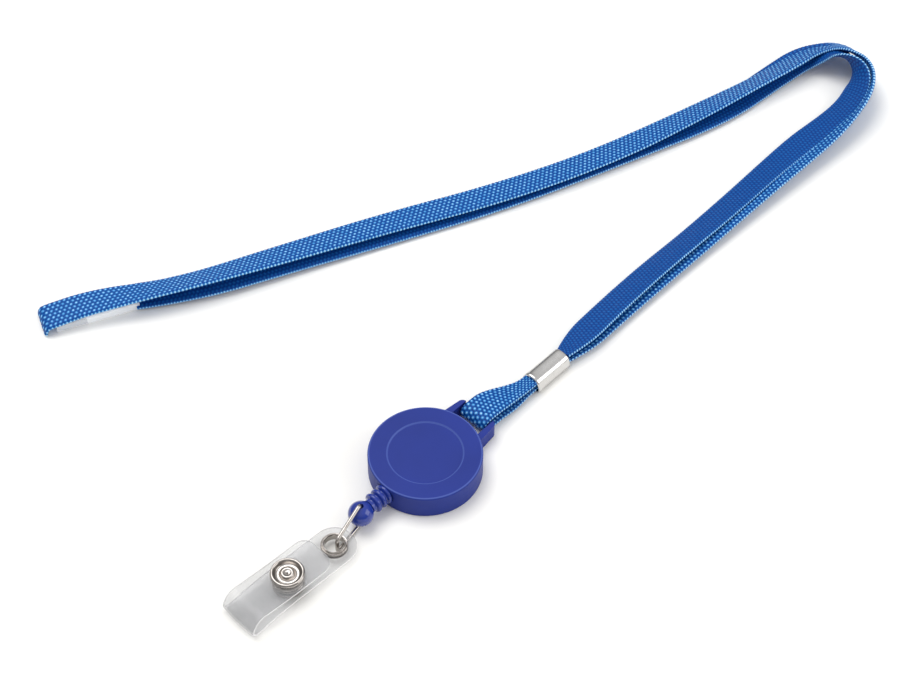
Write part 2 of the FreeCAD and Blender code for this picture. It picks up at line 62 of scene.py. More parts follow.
# --- neck strap, a flat tubular braid, in millimetres until it is built ---
BRAID_WIDTH = 9.6
BRAID_THICK = 1.2
STITCH = 1.5                # length of one stitch along the strap
INNER_STITCH = 1.2          # the inner layer shows its finer, darker face
INNER_TONE = 0.62           # how light that face's stitches are
LOOP_STITCH = 1.3
STITCH_ROWS = 7             # rows of stitches across each face
STITCH_HEIGHT = 0.20
EDGE_START = 0.93           # where the face ends and the rounded edge starts, as a share of the width
NECK_TAPER = 14.0           # a layer opens from the ferrule's width to its own over this length

# Where the numbers of the two routes and their leans come from: they should be points chosen by
# hand that repeat part.py's ROUTE, and they are not. A least-squares fit to the strap's edges in
# the photo, run by scratch scripts, gave them. They were rounded and typed in, and some were moved
# afterwards.

# The outer layer: the ferrule's lower layer, outside at the bend, on top on the way back,
# over the clasp and straight down round its end. Its middle line: x, y, z.
OUTER_ROUTE = [
    (1.9, 54.9, 1.5),
    (1.0, 83.0, 1.3),
    (1.6, 129.0, 2.1),
    (3.1, 166.0, 3.1),
    (3.9, 183.5, 4.7),
    (3.1, 200.3, 5.9),
    (-4.2, 211.2, 5.3),
    (-16.3, 213.2, 5.6),
    (-23.4, 206.4, 4.7),
    (-25.0, 192.4, 4.5),
    (-32.0, 160.0, 4.0),
    (-41.5, 124.5, 2.9),
    (-54.8, 89.6, 3.0),
    (-71.5, 55.9, 3.1),
    (-83.6, 26.5, 4.3),
    (-96.6, -4.0, 5.3),
    (-110.8, -25.6, 4.5),
    (-116.3, -36.7, 3.1),
    (-117.5, -39.2, 2.6),
    (-117.6, -39.4, 0.7),
]
# How a layer leans: (distance along it in mm, turn of its width about its line in degrees).
OUTER_LEAN = [
    (0, 173), (60, 172), (100, 156), (118, 154), (128, 146), (140, 123), (147, 103), (159, 69),
    (169, 35), (178, 29), (205, 31), (225, 22), (250, 14), (300, 10), (325, 9), (350, 12), (375, 17),
    (395, 23), (410, 21), (425, 6), (440, 0),
]
# The inner layer: above the outer one at the ferrule, under it on the way back, to the socket.
INNER_ROUTE = [
    (1.9, 54.9, 3.6),
    (-0.8, 84.6, 3.0),
    (-0.4, 127.0, 2.4),
    (-1.3, 165.5, 2.9),
    (0.5, 186.1, 4.0),
    (-0.4, 197.4, 5.6),
    (-4.5, 204.8, 7.1),
    (-15.0, 208.5, 7.5),
    (-24.2, 202.5, 3.0),
    (-26.8, 189.9, 1.1),
    (-28.6, 164.0, 1.3),
    (-41.0, 127.3, 1.1),
    (-53.7, 90.3, 1.1),
    (-69.5, 55.3, 1.1),
    (-83.2, 24.8, 1.9),
    (-94.0, 0.0, 2.6),
    (-105.2, -14.0, 1.5),
]
INNER_LEAN = [
    (0, 164), (60, 157), (100, 162), (116, 169), (126, 165), (140, 152), (147, 146), (153, 98),
    (159, 30), (165, 4), (172, -4), (200, -1), (230, 3), (260, 1), (350, 0), (400, -4),
]
LEAN_REACH = 4.0            # the lean changes smoothly over about this much strap

# --- slot loop: its middle line in the plane across the slot's bar: y, z ---
LOOP_ROUTE = [
    (46.0, 3.6),
    (41.5, 3.7),
    (36.0, 4.0),
    (29.5, 4.6),
    (24.5, 5.0),
    (21.2, 5.1),
    (19.4, 3.0),
    (21.2, 1.0),
    (25.0, 1.1),
    (33.0, 1.4),
    (41.5, 1.6),
    (46.0, 1.6),
]
LOOP_WIDTH = 9.2
LOOP_NECK = 4.6             # width inside the ferrule
LOOP_STRAIGHT = 6.0         # this much of each end keeps that width
LOOP_OPENING = 15.0         # and over this much it opens to the full width
LOOP_END_X = 1.9            # where the loop's ends lie, in the ferrule
LOOP_BAR_X = -0.6           # and where it goes round the bar
LOOP_SHIFT = 0.5            # its second half lies this much to the side

# --- clear badge strap, from its eyelet along -y ---
VINYL_ROUTE = [
    (5.9, 2.05),
    (0.0, 2.05),
    (-10.0, 2.05),
    (-20.0, 2.05),
    (-26.5, 1.7),
    (-31.0, 0.7),
    (-33.8, 0.8),
    (-34.4, 2.4),
    (-32.6, 5.3),
    (-30.6, 6.2),
    (-27.0, 5.8),
    (-22.0, 5.4),
    (-16.5, 5.2),
    (-10.0, 5.2),
    (-4.9, 5.3),
]
VINYL_THICK = 0.5
VINYL_FOLD_Y = -33.5        # where the fold swells
VINYL_FOLD_REACH = 3.5
VINYL_FOLD_DIP = 0.35       # how far the fold's edges lie back from its middle

# --- reel ---
CORD_HEIGHT = 4.75          # the cord's centre line, above the table
CORD_RADIUS = 0.4
LINK_HOLE = 0.85            # radius of the wire link's hole through the ball
FLOOR_GAP = 0.03            # the ferrule's bead stays this far off the table
BLUE = (0.018, 0.037, 0.262)
# painted highlight: a lighter blue laid in colour on two rings of the front cover, the recess's sloping edge
# and the cover's rounded rim
PAINTED_RING_HIGHLIGHT = (0.070, 0.110, 0.400)
COVER_HIGHLIGHT_RINGS = [(10.45, 10.7), (15.55, 15.75)]      # the recess's sloping edge and the cover's rounded rim
# painted light: the clasp's clear plastic is given a faint emission
CLASP_PAINTED_GLOW = 0.16           # faint emission, standing for the light inside the clear plastic


# ---------------------------------------------------------------- small helpers

def add_mesh(name, points, faces, smooth=True):
    """A mesh object from points in metres."""
    mesh = bpy.data.meshes.new(name)
    mesh.from_pydata([tuple(p) for p in points], [], faces)
    mesh.update()
    if smooth:
        mesh.shade_smooth()
    piece = bpy.data.objects.new(name, mesh)
    bpy.context.scene.collection.objects.link(piece)
    return piece


def ring_faces(rings, around, caps=True):
    """Quads of a tube of closed rings, and its two end faces."""
    faces = []
    for i in range(rings - 1):
        for j in range(around):
            k = (j + 1) % around
            faces.append((i * around + j, i * around + k, (i + 1) * around + k, (i + 1) * around + j))
    if caps:
        faces.append(tuple(range(around - 1, -1, -1)))
        faces.append(tuple(range((rings - 1) * around, rings * around)))
    return faces


def smooth_line(points, step):
    """Evenly spaced points on the NURBS line with these control points, in the points' unit."""
    curve = bpy.data.curves.new("route", "CURVE")
    curve.dimensions = "3D"
    curve.resolution_u = 24
    spline = curve.splines.new("NURBS")
    spline.points.add(len(points) - 1)
    for place, point in zip(spline.points, points):
        place.co = (*point, 1.0)
    spline.order_u = 3
    spline.use_endpoint_u = True
    holder = bpy.data.objects.new("route", curve)
    mesh = bpy.data.meshes.new_from_object(holder)
    line = np.array([v.co for v in mesh.vertices], float)
    bpy.data.meshes.remove(mesh)
    bpy.data.objects.remove(holder)
    bpy.data.curves.remove(curve)
    along = np.concatenate([[0], np.cumsum(np.linalg.norm(np.diff(line, axis=0), axis=1))])
    at = np.linspace(0, along[-1], int(round(along[-1] / step)) + 1)
    return np.stack([np.interp(at, along, line[:, k]) for k in range(3)], axis=1), at


def smooth_keys(keys, at, reach):
    """Values between keys, rounded off over the reach."""
    values = np.interp(at, [k[0] for k in keys], [k[1] for k in keys])
    count = max(1, int(reach / (at[1] - at[0])))
    kernel = np.ones(2 * count + 1) / (2 * count + 1)
    for _ in range(2):
        padded = np.concatenate([np.full(count, values[0]), values, np.full(count, values[-1])])
        values = np.convolve(padded, kernel, "same")[count:-count]
    return values


def unit(rows):
    return rows / np.maximum(np.linalg.norm(rows, axis=-1, keepdims=True), 1e-9)


def strap_frame(line, at, lean):
    """Width and thickness directions along a strap's middle line."""
    tangent = unit(np.gradient(line, axis=0))
    side = np.cross(UP, tangent)
    for i in range(1, len(side)):
        if np.linalg.norm(side[i]) < 0.15:
            side[i] = side[i - 1]
        elif side[i] @ side[i - 1] < 0:
            side[i] = -side[i]
        side[i] /= np.linalg.norm(side[i])
    rise = np.cross(tangent, side)
    angle = np.radians(smooth_keys(lean, at, LEAN_REACH))[:, None]
    across = np.cos(angle) * side + np.sin(angle) * rise
    return across, unit(np.cross(tangent, across))


# ---------------------------------------------------------------- braid

def braid_section():
    """Points round a braid's section: place across (-1 to 1), height (-1 to 1) and row number."""
    points = []
    per_row = 4
    flat = STITCH_ROWS * per_row
    for face in (1, -1):
        for i in range(flat):
            x = -1 + 2 * (i + 0.5) / flat
            points.append((face * x * EDGE_START, face * 1.0, (i + 0.5) / per_row))
        for angle in (60, 20, -20, -60):
            turn = math.radians(angle)
            points.append((face * (EDGE_START + 0.07 * math.cos(turn)), face * math.sin(turn), -1.0))
    return np.array(points)


def braid(name, line, at, across, normal, widths, stitch, tone=1.0):
    """A flat braid whose stitches stand out as bumps, their tops lit by a painted highlight; tone is how
    light its faces' stitches are.
    """
    section = braid_section()
    around = len(section)
    x, z, row = section.T
    parity = np.floor(row) % 2
    in_row = 2 * (row % 1) - 1
    slant = 0.12 * in_row * np.where(z > 0, 1, -1) * np.where(parity > 0, 1, -1)
    phase = at[:, None] / stitch + 0.5 * parity[None, :] + slant[None, :] * 0.5
    along = 2 * (phase % 1) - 1
    face_bump = np.sqrt(np.clip(1 - (along / 1.02) ** 2 - (in_row[None, :] / 1.25) ** 2, 0, 1))
    edge_phase = 2 * ((at[:, None] / (stitch * 0.75)) % 1) - 1
    edge_bump = np.sqrt(np.clip(1 - (edge_phase / 1.05) ** 2 - (z[None, :] / 1.3) ** 2, 0, 1))
    is_edge = (row < 0)[None, :]
    crest = np.where(is_edge, edge_bump, face_bump)
    height = (crest - 0.8) * STITCH_HEIGHT * np.where(is_edge, 1.0, tone)
    crown = BRAID_THICK / 2 * (1 - 0.12 * x ** 2)
    outward = np.where(is_edge, 0.6, 1.0) * height
    up = z[None, :] * (crown[None, :] + outward)
    side = x[None, :] * widths[:, None] / 2 + np.where(is_edge, np.sign(x)[None, :] * height, 0)
    points = line[:, None, :] + side[..., None] * across[:, None, :] + up[..., None] * normal[:, None, :]
    piece = add_mesh(name, points.reshape(-1, 3) * MM, ring_faces(len(at), around))
    # painted light: the crest attribute gives a painted highlight on each stitch's top and painted shade in
    # the valleys; the edge rows are 1.3 times lighter as a painted highlight along the edges
    painted_light_attribute = piece.data.attributes.new("crest", "FLOAT", "POINT")
    light = crest ** 2 * np.where(is_edge, 1.3, tone)
    painted_light_attribute.data.foreach_set("value", light.astype(np.float32).ravel())
    weave = piece.data.attributes.new("weave", "FLOAT_VECTOR", "POINT")
    coords = np.zeros((len(at), around, 3), np.float32)
    coords[..., 0] = phase
    coords[..., 1] = row[None, :]
    coords[..., 2] = z[None, :]
    weave.data.foreach_set("vector", coords.ravel())
    return piece


def neck_layer(name, route, lean, stitch, tone):
    """One layer of the neck strap: the piece, its middle line and its length, in metres."""
    line, at = smooth_line(route, stitch / 4)
    across, normal = strap_frame(line, at, lean)
    from_end = np.minimum(at, NECK_TAPER) / NECK_TAPER
    narrow = LOOP_NECK + (BRAID_WIDTH - LOOP_NECK) * np.sin(from_end * math.pi / 2)
    piece = braid(name, line, at, across, normal, narrow, stitch, tone)
    return piece, line * MM, at[-1] * MM


def slot_loop():
    """The strap's end loop, from the ferrule round the reel's bar and back."""
    line, at = smooth_line([(0.0, y, z) for y, z in LOOP_ROUTE], LOOP_STITCH / 5)
    tangent = unit(np.gradient(line, axis=0))
    across = np.tile(np.array([1.0, 0.0, 0.0]), (len(at), 1))
    normal = unit(np.cross(tangent, across))
    from_end = np.minimum(at, at[-1] - at)
    share = np.clip((from_end - LOOP_STRAIGHT) / LOOP_OPENING, 0, 1)
    share = share * share * (3 - 2 * share)
    widths = LOOP_NECK + (LOOP_WIDTH - LOOP_NECK) * share
    shift = np.where(at > at[-1] / 2, LOOP_SHIFT, 0.0)
    line[:, 0] = LOOP_END_X + (LOOP_BAR_X - LOOP_END_X) * share + shift * np.sin(share * math.pi)
    return braid("slot_loop_braid", line, at, across, normal, widths, LOOP_STITCH)


# ---------------------------------------------------------------- turned metal and plastic

def rounded(points, closed, rounds=3):
    """The outline with its corners cut again and again, as a soft curve."""
    points = np.array(points, float)
    for _ in range(rounds):
        after = np.roll(points, -1, axis=0)
        first = points * 0.75 + after * 0.25
        last = points * 0.25 + after * 0.75
        cut = np.stack([first, last], axis=1).reshape(-1, 2)
        if closed:
            points = cut
        else:
            points = np.concatenate([points[:1], cut[1:-3], points[-1:]])
    return points


def turned(name, profile, centre, steps=96):
    """A piece turned about the vertical line through the centre; the profile is (radius, height) in mm."""
    outline = rounded(profile, True)
    around = len(outline)
    angles = np.arange(steps) * 2 * math.pi / steps
    radius = outline[None, :, 0]
    x = radius * np.cos(angles)[:, None]
    y = radius * np.sin(angles)[:, None]
    z = np.broadcast_to(outline[None, :, 1], x.shape)
    points = np.stack([x, y, z], axis=-1).reshape(-1, 3) * MM
    points += np.array([centre[0], centre[1], 0.0])
    faces = []
    for i in range(steps):
        k = (i + 1) % steps
        for j in range(around):
            n = (j + 1) % around
            faces.append((i * around + j, k * around + j, k * around + n, i * around + n))
    return add_mesh(name, points, faces)


def cut_hole(piece, radius, centre, low, high):
    """Cuts a round vertical hole."""
    angles = np.arange(64) * 2 * math.pi / 64
    rings = [[(centre[0] + radius * math.cos(a), centre[1] + radius * math.sin(a), z) for a in angles]
             for z in (low, high)]
    tool = add_mesh("hole_tool", rings[0] + rings[1], ring_faces(2, 64))
    cut = piece.modifiers.new("hole", "BOOLEAN")
    cut.operation = "DIFFERENCE"
    cut.solver = "EXACT"
    cut.object = tool
    graph = bpy.context.evaluated_depsgraph_get()
    mesh = bpy.data.meshes.new_from_object(piece.evaluated_get(graph))
    piece.modifiers.clear()
    piece.data = mesh
    bpy.data.objects.remove(tool)


def middle(node):
    low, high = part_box(node)
    return (low + high) / 2


# ---------------------------------------------------------------- materials

def material(name):
    """A new material with its nodes, links and main shader."""
    made = bpy.data.materials.new(name)
    made.use_nodes = True
    nodes = made.node_tree.nodes
    shader = nodes["Principled BSDF"]
    return made, nodes, made.node_tree.links, shader


def noise(nodes, scale, detail=3.0):
    node = nodes.new("ShaderNodeTexNoise")
    place = nodes.new("ShaderNodeTexCoord")
    node.inputs["Scale"].default_value = scale
    node.inputs["Detail"].default_value = detail
    node.id_data.links.new(place.outputs["Object"], node.inputs["Vector"])
    return node


def ramp(nodes, source, stops):
    node = nodes.new("ShaderNodeValToRGB")
    node.id_data.links.new(source, node.inputs["Fac"])
    elements = node.color_ramp.elements
    while len(elements) < len(stops):
        elements.new(0.5)
    for element, (place, colour) in zip(elements, stops):
        element.position = place
        element.color = (*colour, 1.0)
    return node.outputs["Color"]


def spread(nodes, source, low, high):
    node = nodes.new("ShaderNodeMapRange")
    node.inputs["To Min"].default_value = low
    node.inputs["To Max"].default_value = high
    node.id_data.links.new(source, node.inputs["Value"])
    return node.outputs["Result"]


def bump(nodes, shader, height, strength, distance):
    node = nodes.new("ShaderNodeBump")
    node.inputs["Strength"].default_value = strength
    node.inputs["Distance"].default_value = distance
    node.id_data.links.new(height, node.inputs["Height"])
    node.id_data.links.new(node.outputs["Normal"], shader.inputs["Normal"])


def braid_material():
    made, nodes, links, shader = material("blue_braid")
    crest = nodes.new("ShaderNodeAttribute")
    crest.attribute_name = "crest"
    weave = nodes.new("ShaderNodeAttribute")
    weave.attribute_name = "weave"
    tone = noise(nodes, 900.0)
    mixed = nodes.new("ShaderNodeMath")
    mixed.operation = "MULTIPLY_ADD"
    links.new(spread(nodes, tone.outputs["Fac"], 0.75, 1.25), mixed.inputs[0])
    links.new(crest.outputs["Fac"], mixed.inputs[1])
    mixed.inputs[2].default_value = 0.0
    # painted shade and highlight: valleys between stitches dark, stitch tops near white, from the crest
    # attribute; the noise adds a random tone
    colour = ramp(nodes, mixed.outputs[0], [
        (0.0, (0.001, 0.030, 0.180)),
        (0.35, (0.003, 0.066, 0.310)),
        (0.60, (0.010, 0.130, 0.440)),
        (0.82, (0.070, 0.330, 0.700)),
        (1.0, (0.400, 0.700, 0.960)),
    ])
    links.new(colour, shader.inputs["Base Color"])
    threads = nodes.new("ShaderNodeTexWave")
    threads.wave_type = "BANDS"
    threads.bands_direction = "Y"
    threads.inputs["Scale"].default_value = 1.3
    threads.inputs["Distortion"].default_value = 0.6
    links.new(weave.outputs["Vector"], threads.inputs["Vector"])
    bump(nodes, shader, threads.outputs["Fac"], 0.5, 0.00006)
    links.new(spread(nodes, tone.outputs["Fac"], 0.35, 0.50), shader.inputs["Roughness"])
    shader.inputs["Specular IOR Level"].default_value = 0.14
    return made


def painted_highlight_mask(nodes, highlight_rings):
    """A mask for a painted highlight, white on rings about the object's upright axis; the rings are (inner,
    outer) radii in mm.
    """
    full = 20.0
    fade = 0.15
    place = nodes.new("ShaderNodeTexCoord")
    flat = nodes.new("ShaderNodeMapping")
    flat.inputs["Scale"].default_value = (1.0, 1.0, 0.0)
    flat.id_data.links.new(place.outputs["Object"], flat.inputs["Vector"])
    radius = nodes.new("ShaderNodeVectorMath")
    radius.operation = "LENGTH"
    flat.id_data.links.new(flat.outputs["Vector"], radius.inputs[0])
    reach = nodes.new("ShaderNodeMapRange")
    reach.inputs["From Max"].default_value = full * MM
    flat.id_data.links.new(radius.outputs["Value"], reach.inputs["Value"])
    black = (0.0, 0.0, 0.0)
    white = (1.0, 1.0, 1.0)
    stops = []
    for inner, outer in highlight_rings:
        stops += [((inner - fade) / full, black), (inner / full, white)]
        stops += [(outer / full, white), ((outer + fade) / full, black)]
    return ramp(nodes, reach.outputs["Result"], stops)


def plastic_material(name, colour, rough_low, rough_high, grain=0.00002, scale=2200.0,
                     coat=0.0, highlight_rings=()):
    """Moulded plastic, or a cord's yarn; the rings, given as (inner, outer) radii in mm, get a painted
    highlight colour.
    """
    made, nodes, links, shader = material(name)
    fine = noise(nodes, scale)
    wide = noise(nodes, 60.0)
    darker = tuple(c * 0.86 for c in colour)
    base = ramp(nodes, wide.outputs["Fac"], [(0.3, darker), (0.7, colour)])
    # painted highlight: the rings' colour is mixed to a lighter blue where the bevels would catch the light
    if highlight_rings:
        mix = nodes.new("ShaderNodeMix")
        mix.data_type = "RGBA"
        links.new(painted_highlight_mask(nodes, highlight_rings), mix.inputs["Factor"])
        links.new(base, mix.inputs["A"])
        mix.inputs["B"].default_value = (*PAINTED_RING_HIGHLIGHT, 1.0)
        base = mix.outputs["Result"]
    links.new(base, shader.inputs["Base Color"])
    links.new(spread(nodes, wide.outputs["Fac"], rough_low, rough_high), shader.inputs["Roughness"])
    bump(nodes, shader, fine.outputs["Fac"], 0.35, grain)
    shader.inputs["Specular IOR Level"].default_value = 0.16
    shader.inputs["Coat Weight"].default_value = coat
    shader.inputs["Coat Roughness"].default_value = 0.08
    return made


def metal_material(name, colour, rough_low, rough_high, wear_share=0.8, brush=False):
    made, nodes, links, shader = material(name)
    wear = noise(nodes, 700.0, 4.0)
    darker = tuple(c * wear_share for c in colour)
    links.new(ramp(nodes, wear.outputs["Fac"], [(0.35, darker), (0.6, colour)]), shader.inputs["Base Color"])
    links.new(spread(nodes, wear.outputs["Fac"], rough_low, rough_high), shader.inputs["Roughness"])
    shader.inputs["Metallic"].default_value = 1.0
    if brush:
        shape = nodes.new("ShaderNodeMapping")
        place = nodes.new("ShaderNodeTexCoord")
        lines = nodes.new("ShaderNodeTexNoise")
        shape.inputs["Scale"].default_value = (3000.0, 60.0, 3000.0)
        links.new(place.outputs["Object"], shape.inputs["Vector"])
        links.new(shape.outputs["Vector"], lines.inputs["Vector"])
        lines.inputs["Scale"].default_value = 1.0
        bump(nodes, shader, lines.outputs["Fac"], 0.12, 0.00003)
    else:
        bump(nodes, shader, wear.outputs["Fac"], 0.10, 0.00002)
    return made


def vinyl_material(name, tint, cloud, edge, glow=0.0):
    """Clear plastic: see-through, hazier towards its rims; glow is painted light, a faint emission standing
    for the light inside it.
    """
    made, nodes, links, shader = material(name)
    haze = noise(nodes, 120.0)
    shader.inputs["Base Color"].default_value = (*cloud, 1.0)
    shader.inputs["Roughness"].default_value = 0.12
    shader.inputs["Coat Weight"].default_value = 0.3
    shader.inputs["Emission Color"].default_value = (0.92, 0.95, 1.0, 1.0)
    shader.inputs["Emission Strength"].default_value = glow
    links.new(spread(nodes, haze.outputs["Fac"], 0.10, 0.18), shader.inputs["Roughness"])
    clear = nodes.new("ShaderNodeBsdfTransparent")
    clear.inputs["Color"].default_value = (*tint, 1.0)
    rim = nodes.new("ShaderNodeLayerWeight")
    rim.inputs["Blend"].default_value = 0.35
    mix = nodes.new("ShaderNodeMixShader")
    low, high = edge
    links.new(spread(nodes, rim.outputs["Facing"], low, high), mix.inputs["Fac"])
    links.new(clear.outputs[0], mix.inputs[1])
    links.new(shader.outputs[0], mix.inputs[2])
    links.new(mix.outputs[0], nodes["Material Output"].inputs["Surface"])
    return made


MATERIALS = {
    "blue_braid": braid_material(),
    "blue_plastic": plastic_material("blue_plastic", BLUE, 0.40, 0.50),
    "cover_plastic": plastic_material("cover_plastic", BLUE, 0.40, 0.50, highlight_rings=COVER_HIGHLIGHT_RINGS),
    "stop_plastic": plastic_material("stop_plastic", (0.012, 0.036, 0.300), 0.14, 0.22, coat=0.9),
    "spool_plastic": plastic_material("spool_plastic", (0.75, 0.74, 0.70), 0.40, 0.50),
    "cord": plastic_material("cord", (0.03, 0.03, 0.035), 0.45, 0.60, 0.00008, 5000.0),
    "spring_steel": metal_material("spring_steel", (0.45, 0.47, 0.52), 0.22, 0.34, brush=True),
    "nickel": metal_material("nickel", (0.44, 0.41, 0.385), 0.10, 0.20),
    "ferrule_chrome": metal_material("ferrule_chrome", (0.65, 0.64, 0.63), 0.18, 0.22,
                                     wear_share=0.95, brush=True),
    "clear_vinyl": vinyl_material("clear_vinyl", (0.925, 0.925, 0.93), (0.62, 0.63, 0.64), (0.07, 0.55)),
    "vinyl_edge": vinyl_material("vinyl_edge", (1.0, 1.0, 1.0), (0.95, 0.95, 0.96), (0.50, 0.95)),
    "clasp_clear": vinyl_material("clasp_clear", (0.97, 0.975, 0.98), (0.90, 0.91, 0.92),
                                  (0.25, 0.80), CLASP_PAINTED_GLOW),
    "clasp_frosted": vinyl_material("clasp_frosted", (0.97, 0.975, 0.98), (0.93, 0.94, 0.95),
                                    (0.50, 0.95), CLASP_PAINTED_GLOW),
}


def paint(piece, name):
    if piece.material_slots:
        for place in piece.material_slots:
            place.material = MATERIALS[name]
    else:
        piece.data.materials.append(MATERIALS[name])


# ---------------------------------------------------------------- neck strap

def neck_strap():
    outer, outer_line, outer_long = neck_layer(
        "outer_strap", OUTER_ROUTE, OUTER_LEAN, STITCH, 1.0)
    inner, inner_line, inner_long = neck_layer(
        "inner_strap", INNER_ROUTE, INNER_LEAN, INNER_STITCH, INNER_TONE)
    loop = slot_loop()
    for piece, node in ((outer, "strap_upper"), (inner, "strap_lower"), (loop, "strap_slot_loop")):
        paint(piece, "blue_braid")
        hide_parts(node)
    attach(outer, "lanyard")
    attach(loop, "lanyard")
    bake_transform(inner)


# ---------------------------------------------------------------- ferrule

def ferrule():
    """Pressed flat tube with a rolled bead at each end."""
    low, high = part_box("ferrule")
    centre = (low + high) / 2 / MM
    width, long, tall = (high - low) / MM
    wall = 0.45
    bead = 0.22
    stations = [(0.0, -0.25), (0.12, 0.1), (0.5, bead), (0.95, bead), (1.3, 0.0), (long / 2, -0.06)]
    stations += [(long - 1.0, 0.0), (long - 0.3, 0.05), (long, -0.2)]
    skin = [(y, out) for y, out in stations] + [(y, -wall) for y, _ in reversed(stations)]
    rings = []
    for y, out in skin:
        half = width / 2 + out
        rise = tall / 2 + out
        flat = 0.31 * width
        foot = 0.40 * width
        section = rounded([(half, -0.1 * rise), (flat, rise), (-flat, rise), (-half, -0.1 * rise),
                           (-half, -0.6 * rise), (-foot, -rise), (foot, -rise), (half, -0.6 * rise)], True)
        rings.append([(centre.x + x, low.y / MM + y, max(centre.z + z, FLOOR_GAP)) for x, z in section])
    rings.append(rings[0])
    steps = len(section)
    points = np.array(rings).reshape(-1, 3) * MM
    piece = add_mesh("chrome_ferrule", points, ring_faces(len(rings), steps, caps=False))
    smooth = piece.modifiers.new("smooth", "SUBSURF")
    smooth.levels = 1
    smooth.render_levels = 1
    paint(piece, "ferrule_chrome")
    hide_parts("ferrule")
    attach(piece, "lanyard")


# ---------------------------------------------------------------- reel, stop, link

def cord_stop():
    """Glossy ribbed neck and ball, turned about the cord."""
    low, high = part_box("cord_stop")
    centre = (low + high) / 2 / MM
    ball = 3.6
    ball_y = low.y / MM + ball
    profile = [(0.55, high.y / MM), (2.0, high.y / MM)]
    for i in range(3):
        y = high.y / MM - 2.0 * i
        profile += [(2.05, y - 0.05), (2.95, y - 0.3), (2.95, y - 1.25), (2.05, y - 1.5), (1.95, y - 1.8)]
    profile += [(2.0, ball_y + 3.2)]
    neck = rounded(profile, False, 2)
    angles = np.radians(np.linspace(62, -90, 26))
    sphere = [(ball * math.cos(a), ball_y + ball * math.sin(a)) for a in angles]
    sphere[-1] = (0.02, sphere[-1][1])
    outline = np.concatenate([neck, sphere])
    steps = 64
    rings = []
    for radius, y in outline:
        rings.append([(centre.x + radius * math.cos(a), y, centre.z + radius * math.sin(a))
                      for a in np.arange(steps) * 2 * math.pi / steps])
    points = np.array(rings).reshape(-1, 3) * MM
    piece = add_mesh("cord_stop_body", points, ring_faces(len(rings), steps))
    cut_hole(piece, LINK_HOLE * MM, (0.0, ball_y * MM), 0.0, 0.02)
    piece.data.set_sharp_from_angle(angle=math.radians(50))
    paint(piece, "stop_plastic")
    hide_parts("cord_stop")
    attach(piece, "cord_stop")


def reel_cord():
    """The cord from the spool through the mouth to its knot."""
    low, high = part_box("cord_lead")
    route = [
        (low.x / MM + 0.3, high.y / MM, CORD_HEIGHT),
        (low.x / MM + 3.2, -12.6, CORD_HEIGHT),
        (0.0, -13.6, CORD_HEIGHT),
        (0.0, -15.5, CORD_HEIGHT),
        (0.0, low.y / MM, CORD_HEIGHT),
    ]
    line, at = smooth_line(route, 0.15)
    tangent = unit(np.gradient(line, axis=0))
    side = unit(np.cross(UP, tangent))
    steps = 12
    rings = []
    for place, across, distance in zip(line, side, at):
        twist = distance * 3.0
        ring = []
        for i in range(steps):
            a = 2 * math.pi * i / steps
            out = CORD_RADIUS * (0.93 + 0.07 * math.cos(3 * (a - twist)))
            ring.append(place + across * out * math.cos(a) + UP * out * math.sin(a))
        rings.append(ring)
    piece = add_mesh("reel_cord", np.array(rings).reshape(-1, 3) * MM, ring_faces(len(rings), steps))
    paint(piece, "cord")
    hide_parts("cord_lead")
    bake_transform(piece)


# ---------------------------------------------------------------- badge strap

def badge_place():
    """The eyelet's centre and the strap's heading, from the frame."""
    eye = middle("eyelet")
    snap = middle("snap_cap")
    heading = Vector((snap.x - eye.x, snap.y - eye.y, 0)).normalized()
    return eye, snap, heading


def half_width(y, on_flap):
    """Half the sheet's width at a distance from the eyelet, in mm."""
    wide = 6.15
    nose = 6.1
    if on_flap:
        tip = -4.9
        corner = 3.6
        cut = corner * 0.9
        reach = min(max((tip - y) / corner, 0.0), 1.0)
        return wide - cut + cut * math.sqrt(max(0.0, 1 - (1 - reach) ** 2))
    if y > 0:
        return math.sqrt(max(0.5, nose ** 2 - y ** 2))
    return nose + (wide - nose) * min(-y / 6.0, 1.0)


